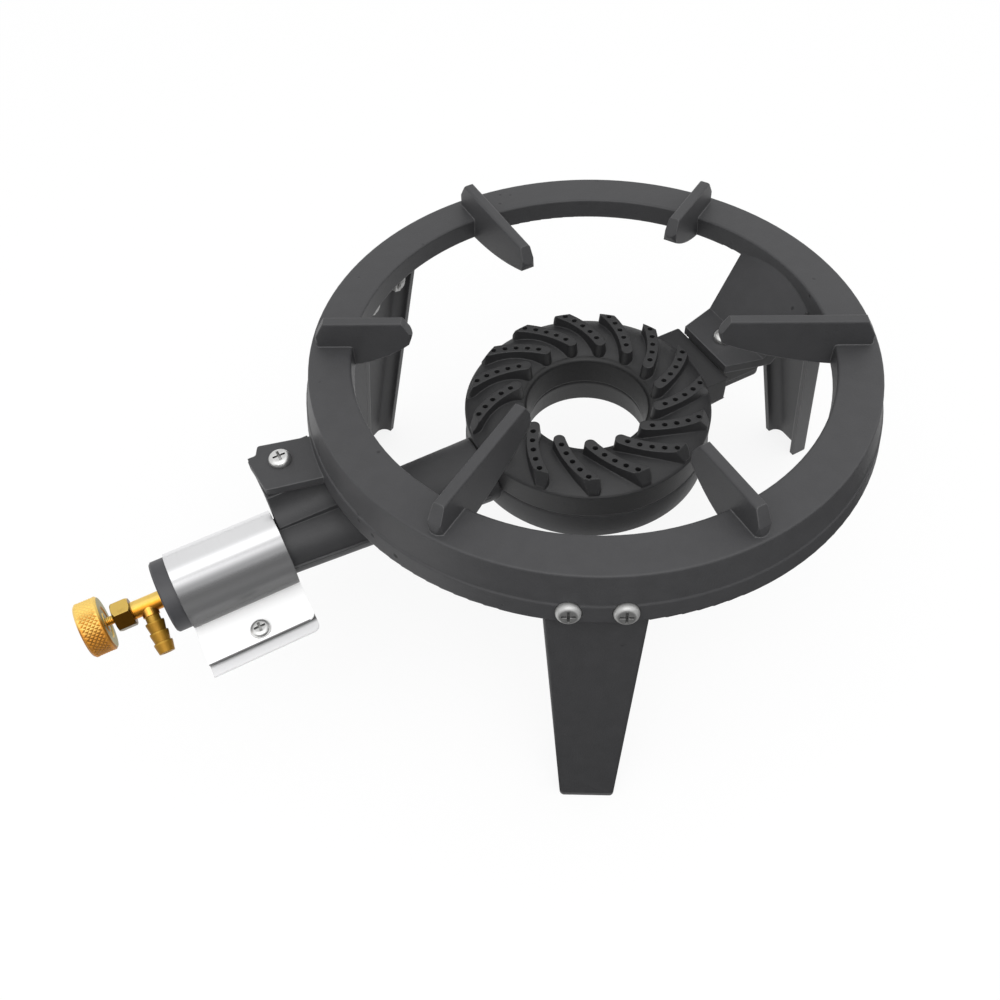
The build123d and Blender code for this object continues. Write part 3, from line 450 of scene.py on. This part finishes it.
def brass(name, under, front, top, along="X", pitch=0.0009, thread=0.0, knurl=0.0, face=None, metal=1.0):
    """Turned brass: tool marks along its axis, three tones of painted light and shade from its shaded
    underside to its lit top, painted highlights on its edges, another tone on its flat ends, and painted
    shade in the grooves of a knurl."""
    finish = Finish(bpy.data.materials.new(name))
    place = finish.place()
    waver = finish.noise(place, 300.0, 2.0)
    marks = finish.ridges(finish.part(place, along) + waver * 0.0002, pitch)
    stain = finish.noise(place, 190.0, 4.0, 0.65)
    soft, edge = finish.rounded(0.0004)
    angle = finish.rise(finish.normal())
    # Painted light and shade: darker on the underside and front, lighter on the top, by the normal's angle
    # above the front
    base = finish.mix(finish.fade(angle, *BRASS_FRONT), under, front)
    base = finish.mix(finish.fade(angle, *BRASS_TOP), base, top)
    end = finish.part(finish.normal(), "X")
    base = finish.mix(finish.fade(end.larger(end * -1.0), 0.8, 0.95), base, face or front)
    base = finish.mix(finish.fade(stain, 0.5, 0.75) * 0.2, base, shade(front, 0.6))
    # Painted highlight on the edges
    base = finish.mix(finish.fade(edge, 0.04, 0.25) * 0.3, base, shade(top, 0.8))
    if knurl:
        # Painted shade in the knurl's grooves, except on the lit top
        radius = finish.length(finish.place((0, 0, VALVE_Z), (0, 1, 1)))
        groove = 1.0 - finish.fade(radius, KNOB_R - knurl, KNOB_R - knurl * 0.5)
        rim = finish.fade(radius, KNOB_R - knurl * 2.5, KNOB_R - knurl * 2)
        below = 1.0 - finish.fade(angle, *GROOVE_LIT)
        base = finish.mix(groove * rim * below * 0.6, base, shade(front, 0.25))
    height = marks * (0.25 + thread) + stain * 0.3
    rough = 0.24 + stain * 0.16 + marks * 0.05 + (1.0 - metal) * 0.2
    return finish.surface(Base_Color=base, Metallic=metal, Roughness=rough,
                          Normal=finish.bump(height, 0.2, 0.0002, soft))


def packing_tape(name):
    """White packing with the fine ridges of its windings."""
    finish = Finish(bpy.data.materials.new(name))
    place = finish.place()
    turns = finish.ridges(finish.part(place, "X"), 0.0005)
    fuzz = finish.noise(place, 1500.0, 3.0)
    base = finish.mix(turns * 0.5 + fuzz * 0.5, *TAPE_TONES)
    return finish.surface(Base_Color=base, Roughness=0.75 + fuzz * 0.1,
                          Normal=finish.bump(turns + fuzz * 0.4, 0.4, 0.0001))


# Settings


class BurnerIron(bpy.types.PropertyGroup):
    """Looks of the castings."""

    colour: FloatVectorProperty(name="Iron", description="Colour of the black iron", subtype="COLOR",
                                size=3, min=0.0, max=1.0, default=(0.037, 0.037, 0.039))
    # Partly rubbed wear, partly a painted highlight on the rounded edges
    edge_colour: FloatVectorProperty(name="Rubbed edge", description="Colour where edges are rubbed",
                                     subtype="COLOR", size=3, min=0.0, max=1.0, default=(0.16, 0.16, 0.163))
    roughness: FloatProperty(name="Roughness", description="How dull the iron is", default=0.42,
                             min=0.05, max=1.0)
    grain: FloatProperty(name="Grain", description="Size of the sand grain in millimetres", default=0.9,
                         min=0.2, max=5.0)
    edge: FloatProperty(name="Edge", description="Radius that cast edges look rounded to, in millimetres",
                        default=1.1, min=0.1, max=3.0)


class BurnerMetal(bpy.types.PropertyGroup):
    """Looks of the sheet, the screws, the end disc and the brass."""

    zinc_colour: FloatVectorProperty(name="Zinc", description="Colour of the plated screws", subtype="COLOR",
                                     size=3, min=0.0, max=1.0, default=(0.72, 0.72, 0.71))
    sheet_colour: FloatVectorProperty(name="Sheet", description="Colour of the air sleeve", subtype="COLOR",
                                      size=3, min=0.0, max=1.0, default=(0.86, 0.86, 0.87))
    # Painted shade: the colour painted on the sleeve's lower half
    shaded_sheet_colour: FloatVectorProperty(name="Dull sheet", description="Colour of the sleeve's lower half",
                                     subtype="COLOR", size=3, min=0.0, max=1.0, default=(0.108, 0.108, 0.11))
    sheet_roughness: FloatProperty(name="Sheet roughness", description="How dull the sleeve is", default=0.2,
                                   min=0.02, max=1.0)
    brush: FloatProperty(name="Brushing", description="Spacing of the brushed lines in millimetres",
                         default=0.5, min=0.1, max=3.0)
    disc_colour: FloatVectorProperty(name="End disc", description="Colour of the end disc", subtype="COLOR",
                                     size=3, min=0.0, max=1.0, default=(0.042, 0.042, 0.046))
    # Painted highlight: the colour painted on the brass's lit top
    lit_brass_colour: FloatVectorProperty(name="Brass", description="Colour of clean brass", subtype="COLOR",
                                      size=3, min=0.0, max=1.0, default=(0.9, 0.62, 0.16))
    # The brass's duller tone on its front and underside, partly tarnish and partly painted shade
    tarnish_and_shade_colour: FloatVectorProperty(name="Tarnish", description="Colour of dull brass", subtype="COLOR",
                                        size=3, min=0.0, max=1.0, default=(0.69, 0.283, 0.029))
    # Painted shade: the colour painted on the brass's underside
    underside_shade_colour: FloatVectorProperty(name="Underside", description="Colour of brass that faces down",
                                      subtype="COLOR", size=3, min=0.0, max=1.0,
                                      default=(0.12, 0.085, 0.018))
    face_colour: FloatVectorProperty(name="Knob's face", description="Colour of the knob's flat faces",
                                     subtype="COLOR", size=3, min=0.0, max=1.0, default=(0.3, 0.27, 0.1))


class BurnerKnob(bpy.types.PropertyGroup):
    """Shape of the knurled knob."""

    diamonds: IntProperty(name="Diamonds", description="Knurl diamonds round the rim", default=36,
                          min=12, max=120)
    rows: IntProperty(name="Rows", description="Knurl rows along the rim", default=8, min=4, max=40)
    depth: FloatProperty(name="Depth", description="Depth of the knurl", default=0.0004,
                         min=0.0, max=0.002, unit="LENGTH")
    dish: FloatProperty(name="Dish", description="Depth of the grooves in the faces", default=0.0006,
                        min=0.0, max=0.003, unit="LENGTH")


class BurnerStage(bpy.types.PropertyGroup):
    """Floor, lamp and camera."""

    floor_colour: FloatVectorProperty(name="Floor", description="Colour of the floor", subtype="COLOR",
                                      size=3, min=0.0, max=1.0, default=(0.8, 0.8, 0.8))
    key: FloatProperty(name="Key lamp", description="Power of the large lamp overhead", default=7.0,
                       min=0.0, unit="POWER")
    camera_place: FloatVectorProperty(name="Camera", description="Place of the camera", subtype="TRANSLATION",
                                      size=3, unit="LENGTH", default=CAMERA_PLACE)
    camera_turn: FloatVectorProperty(name="Camera turn", description="Turn of the camera", subtype="EULER",
                                     size=3, unit="ROTATION", default=CAMERA_TURN)
    lens: FloatProperty(name="Lens", description="Focal length in millimetres", default=33.4406,
                        min=5.0, max=300.0)


# Pieces


class BURNER_OT_ring(bpy.types.Operator):
    """Finish the ring casting with its fingers, ear and rear bracket."""

    bl_idname = "burner.ring"
    bl_label = "Ring casting"

    def execute(self, context):
        pits = []
        for azimuth, drop, radius in SKIRT_PITS:
            turn, reach = math.radians(azimuth), SKIRT_R - SKIRT_BATTER
            pits.append(((RING_X + reach * math.cos(turn), reach * math.sin(turn), RING_TOP - drop), radius))
        dress(["ring_frame"], cast_iron("ring_iron", context.scene.burner_iron, pits=pits))
        return {"FINISHED"}


class BURNER_OT_legs(bpy.types.Operator):
    """Finish the three legs."""

    bl_idname = "burner.legs"
    bl_label = "Legs"

    def execute(self, context):
        iron = cast_iron("leg_iron", context.scene.burner_iron, tone=0.9)
        dress(["leg_rear", "leg_left", "leg_right"], iron)
        return {"FINISHED"}


class BURNER_OT_head(bpy.types.Operator):
    """Finish the burner's cap and its bowl with the mixing tube."""

    bl_idname = "burner.head"
    bl_label = "Burner head"

    def execute(self, context):
        settings = context.scene.burner_iron
        dress(["burner_cap"], cast_iron("cap_iron", settings, tone=0.48, grain=1.3, rubbed=0.15, darker_within=0.036))
        dress(["burner_bowl"], cast_iron("bowl_iron", settings, tone=0.8, grain=1.1, rubbed=0.35, darker_within=0.042))
        return {"FINISHED"}


class BURNER_OT_fasteners(bpy.types.Operator):
    """Finish the screws, nuts and washers."""

    bl_idname = "burner.fasteners"
    bl_label = "Screws, nuts and washers"

    def execute(self, context):
        settings = context.scene.burner_metal
        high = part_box("leg_screws")[1]
        seat = (high.x - RING_X) * math.cos(LEG_SLOPE) + high.z * math.sin(LEG_SLOPE) - LEG_HEAD
        dress(["leg_screws", "leg_washers", "leg_nuts"],
              zinc("leg_zinc", settings, out_of_legs, seat, LEG_PITCH, dulled=0.75, tone=0.6, metal=0.45))
        for screw, nut, head, pitch in UPRIGHT_SCREWS:
            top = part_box(screw)[1].z
            dress([screw, nut], zinc(screw + "_zinc", settings, upright, top - head, pitch))
        return {"FINISHED"}


class BURNER_OT_sleeve(bpy.types.Operator):
    """Finish the air sleeve and the end disc."""

    bl_idname = "burner.sleeve"
    bl_label = "Air sleeve and end disc"

    def execute(self, context):
        settings = context.scene.burner_metal
        dress(["air_sleeve"], sheet_steel("sleeve_sheet", settings))
        dress(["end_disc"], black_steel("disc_steel", settings))
        return {"FINISHED"}


class BURNER_OT_valve(bpy.types.Operator):
    """Finish the valve's body, barb, nuts, jet, stem and packing."""

    bl_idname = "burner.valve"
    bl_label = "Valve"

    def execute(self, context):
        settings = context.scene.burner_metal
        toplit = colour(settings, "lit_brass_colour")
        tarnish_and_shade = colour(settings, "tarnish_and_shade_colour")
        underside_shade = colour(settings, "underside_shade_colour")
        dress(["valve_body"], brass("body_brass", shade(tarnish_and_shade, 0.9), shade(tarnish_and_shade, 0.9), toplit))
        dress(["hose_nozzle"], brass("barb_brass", *BARB_LIGHT_AND_SHADE, along="Y", pitch=0.0007, metal=0.65))
        dress(["packing_nut", "valve_locknut"],
              brass("nut_brass", underside_shade, shade(tarnish_and_shade, 0.22), shade(toplit, 0.8), pitch=0.0006))
        dress(["injector_jet"], brass("jet_brass", tarnish_and_shade, tarnish_and_shade, toplit, pitch=0.0005))
        dress(["valve_stem"], brass("stem_brass", tarnish_and_shade, tarnish_and_shade, toplit, pitch=0.0008, thread=2.0))
        dress(["gland_packing"], packing_tape("gland_tape"))
        pocket = RING_X - KNOB_LOW.x - POCKET_DEPTH
        dress(["knob_screw"], zinc("knob_screw_zinc", settings, towards_knob, pocket, KNOB_SCREW_PITCH))
        return {"FINISHED"}


class BURNER_OT_knob(bpy.types.Operator):
    """Model the brass knob: a diamond-knurled rim, chamfers, grooves in its faces and a bore."""

    bl_idname = "burner.knob"
    bl_label = "Knurled knob"

    def execute(self, context):
        settings = context.scene.burner_knob
        length = KNOB_HIGH.x - KNOB_LOW.x
        centre = Vector(((KNOB_LOW.x + KNOB_HIGH.x) / 2, 0, VALVE_Z))
        deselect()
        bpy.ops.mesh.primitive_cylinder_add(vertices=settings.diamonds * 2, radius=KNOB_R,
                                            depth=length - KNOB_CHAMFER * 2, end_fill_type="NOTHING",
                                            location=centre, rotation=(0, math.radians(90), 0))
        knob = context.object
        knob.name = "knurled_knob"
        bpy.ops.object.transform_apply(location=True, rotation=True, scale=True)
        self.knurled(knob, settings, length - KNOB_CHAMFER * 2, centre)
        outer, inner = [self.grooved(settings.dish, groove) for groove in (OUTER_GROOVE, INNER_GROOVE)]
        self.turned(knob, centre, KNOB_LOW.x, 1, (
            *outer, (0, POCKET_R), (POCKET_DEPTH, POCKET_R), (POCKET_DEPTH, BORE_R),
            (length - SEAT_DEPTH, BORE_R), (length - SEAT_DEPTH, SEAT_R)))
        self.turned(knob, centre, KNOB_HIGH.x, -1, (*inner, (0, SEAT_R), (SEAT_DEPTH, SEAT_R)))
        bpy.ops.mesh.select_all(action="SELECT")
        bpy.ops.mesh.remove_doubles(threshold=MERGE_GAP)
        bpy.ops.mesh.normals_make_consistent(inside=False)
        bpy.ops.object.mode_set(mode="OBJECT")
        bpy.ops.object.shade_smooth_by_angle(angle=SMOOTH_ANGLE)
        metal = context.scene.burner_metal
        tarnish_and_shade = shade(colour(metal, "tarnish_and_shade_colour"), 0.85)
        knob.data.materials.append(brass("knob_brass", shade(tarnish_and_shade, 0.85), tarnish_and_shade,
                                         colour(metal, "lit_brass_colour"), pitch=0.0005, knurl=settings.depth,
                                         face=colour(metal, "face_colour"), metal=0.6))
        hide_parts("knob")
        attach(knob, "knob")
        return {"FINISHED"}

    @staticmethod
    def knurled(knob, settings, rim, centre):
        """Cuts the rim into rows, sinks every other corner and leaves diamonds between the sunk ones."""
        places = [vertex.co.x for vertex in knob.data.vertices]
        choose(knob, lambda edge: abs(places[edge.vertices[0]] - places[edge.vertices[1]]) > KNOB_CHAMFER,
               "edges")
        bpy.ops.mesh.subdivide(number_cuts=settings.rows - 1)
        row = rim / settings.rows
        corner = math.tau / (settings.diamonds * 2)

        def sunk(vertex):
            along = round((vertex.co.x - KNOB_LOW.x - KNOB_CHAMFER) / row)
            around = round(math.atan2(vertex.co.y, vertex.co.z - VALVE_Z) / corner)
            return 0 < along < settings.rows and (along + around) % 2 == 1

        choose(knob, sunk)
        share = 1 - settings.depth / KNOB_R
        bpy.ops.transform.resize(value=(1, share, share), center_override=centre)
        bpy.ops.mesh.select_all(action="SELECT")
        bpy.ops.mesh.quads_convert_to_tris(quad_method="SHORTEST_DIAGONAL")

    @staticmethod
    def grooved(dish, groove):
        """The steps of a face: its chamfer, then its groove."""
        edges = zip((0, dish, dish, 0), groove)
        return [(0, KNOB_R - KNOB_CHAMFER), *[(depth, KNOB_R * share) for depth, share in edges]]

    @staticmethod
    def turned(knob, centre, face, inward, steps):
        """Carries one open end inward, step by step: each is a depth below its face and a radius."""
        place, radius = face + inward * KNOB_CHAMFER, KNOB_R
        choose(knob, lambda vertex: abs(vertex.co.x - place) < 1e-6
               and math.hypot(vertex.co.y, vertex.co.z - VALVE_Z) > KNOB_R * 0.9)
        bpy.ops.mesh.select_mode(type="EDGE")
        for depth, reach in steps:
            target, share = face + inward * depth, reach / radius
            bpy.ops.mesh.extrude_edges_move()
            bpy.ops.transform.translate(value=(target - place, 0, 0))
            bpy.ops.transform.resize(value=(1, share, share), center_override=centre)
            place, radius = target, reach


class BURNER_OT_stage(bpy.types.Operator):
    """Set the pale floor, the studio light and the camera."""

    bl_idname = "burner.stage"
    bl_label = "Stage"

    def execute(self, context):
        settings = context.scene.burner_stage
        deselect()
        bpy.ops.mesh.primitive_plane_add(size=FLOOR_SIZE, location=(0, 0, 0))
        floor = context.object
        floor.name = "floor"
        floor.data.materials.append(self.floor_finish(settings))
        self.world(context)
        self.flag()
        bpy.ops.object.light_add(type="AREA", location=LAMP_PLACE, rotation=LAMP_TURN)
        key = context.object
        key.name = "key_lamp"
        key.data.shape = "RECTANGLE"
        key.data.size, key.data.size_y = LAMP_SIZE
        key.data.energy = settings.key
        bpy.ops.object.camera_add(location=settings.camera_place, rotation=settings.camera_turn)
        camera = context.object
        camera.data.sensor_width = SENSOR_WIDTH
        camera.data.lens = settings.lens
        camera.data.clip_start = 0.01
        camera.data.clip_end = 50.0
        context.scene.camera = camera
        context.scene.view_settings.view_transform = "Standard"
        return {"FINISHED"}

    @staticmethod
    def seen(finish):
        """1 for rays from the camera, or by way of metal or glass."""
        path = finish.node("ShaderNodeLightPath", output="Is Camera Ray")
        return path.larger(path.output("Is Glossy Ray")).larger(path.output("Is Transmission Ray"))

    def floor_finish(self, settings):
        """White to the camera, with most of the object's shadow taken off."""
        finish = Finish(bpy.data.materials.new("floor_paper"))
        paper = finish.node("ShaderNodeBsdfDiffuse", None, {"Color": colour(settings, "floor_colour")})
        white = finish.node("ShaderNodeEmission", None, {"Color": WHITE, "Strength": 1.0})
        share = self.seen(finish) * FLOOR_WHITE
        both = finish.node("ShaderNodeMixShader", None, {0: share, 1: paper, 2: white})
        finish.node_output(both)
        return finish.owner

    def world(self, context):
        """A studio: a soft box over the front, a pale ceiling and back wall, a dim room behind the camera."""
        finish = Finish(bpy.data.worlds.new("studio"))
        rise = finish.rise(finish.node("ShaderNodeTexCoord", output="Generated"))
        ceiling = finish.fade(rise, *BOX_START)
        box = ceiling * (1.0 - finish.fade(rise, *BOX_END))
        light = ROOM_LIGHT + ceiling * CEILING_LIGHT + box * BOX_LIGHT
        room = finish.node("ShaderNodeBackground", None, {"Color": WHITE, "Strength": light})
        white = finish.node("ShaderNodeBackground", None, {"Color": WHITE, "Strength": 1.0})
        camera = finish.node("ShaderNodeLightPath", output="Is Camera Ray")
        both = finish.node("ShaderNodeMixShader", None, {0: camera, 1: room, 2: white})
        finish.node_output(both, "ShaderNodeOutputWorld")
        context.scene.world = finish.owner

    @staticmethod
    def flag():
        """A dark card on the floor in front, seen only in polished metal."""
        bpy.ops.mesh.primitive_plane_add(size=1.0, location=CARD_PLACE)
        card = bpy.context.object
        card.name = "flag"
        bpy.ops.transform.resize(value=CARD_SIZE)
        bpy.ops.object.transform_apply(location=True, rotation=True, scale=True)
        finish = Finish(bpy.data.materials.new("flag_card"))
        finish.node_output(finish.node("ShaderNodeBsdfDiffuse", None, {"Color": CARD_GREY}))
        card.data.materials.append(finish.owner)
        card.visible_camera = False
        card.visible_diffuse = False
        card.visible_shadow = False
        card.visible_transmission = False


class BURNER_PT_panel(bpy.types.Panel):
    """Lists the burner's settings and its pieces."""

    bl_idname = "BURNER_PT_panel"
    bl_label = "Gas burner"
    bl_space_type = "VIEW_3D"
    bl_region_type = "UI"
    bl_category = "Gas burner"

    def draw(self, context):
        for name in SETTINGS:
            group = getattr(context.scene, name)
            box = self.layout.box()
            for setting in group.bl_rna.properties:
                if setting.identifier not in ("rna_type", "name"):
                    box.prop(group, setting.identifier)
        for operator in OPERATORS:
            self.layout.operator(operator.bl_idname)


SETTINGS = {"burner_iron": BurnerIron, "burner_metal": BurnerMetal, "burner_knob": BurnerKnob,
            "burner_stage": BurnerStage}
OPERATORS = (BURNER_OT_ring, BURNER_OT_legs, BURNER_OT_head, BURNER_OT_fasteners, BURNER_OT_sleeve,
             BURNER_OT_valve, BURNER_OT_knob, BURNER_OT_stage)
CLASSES = (*SETTINGS.values(), *OPERATORS, BURNER_PT_panel)


def register():
    for made in CLASSES:
        bpy.utils.register_class(made)
    for name, group in SETTINGS.items():
        setattr(bpy.types.Scene, name, PointerProperty(type=group))


def unregister():
    for name in SETTINGS:
        delattr(bpy.types.Scene, name)
    for made in reversed(CLASSES):
        bpy.utils.unregister_class(made)


def main():
    register()
    for operator in OPERATORS:
        group, name = operator.bl_idname.split(".")
        getattr(getattr(bpy.ops, group), name)()


if __name__ == "__main__":
    main()
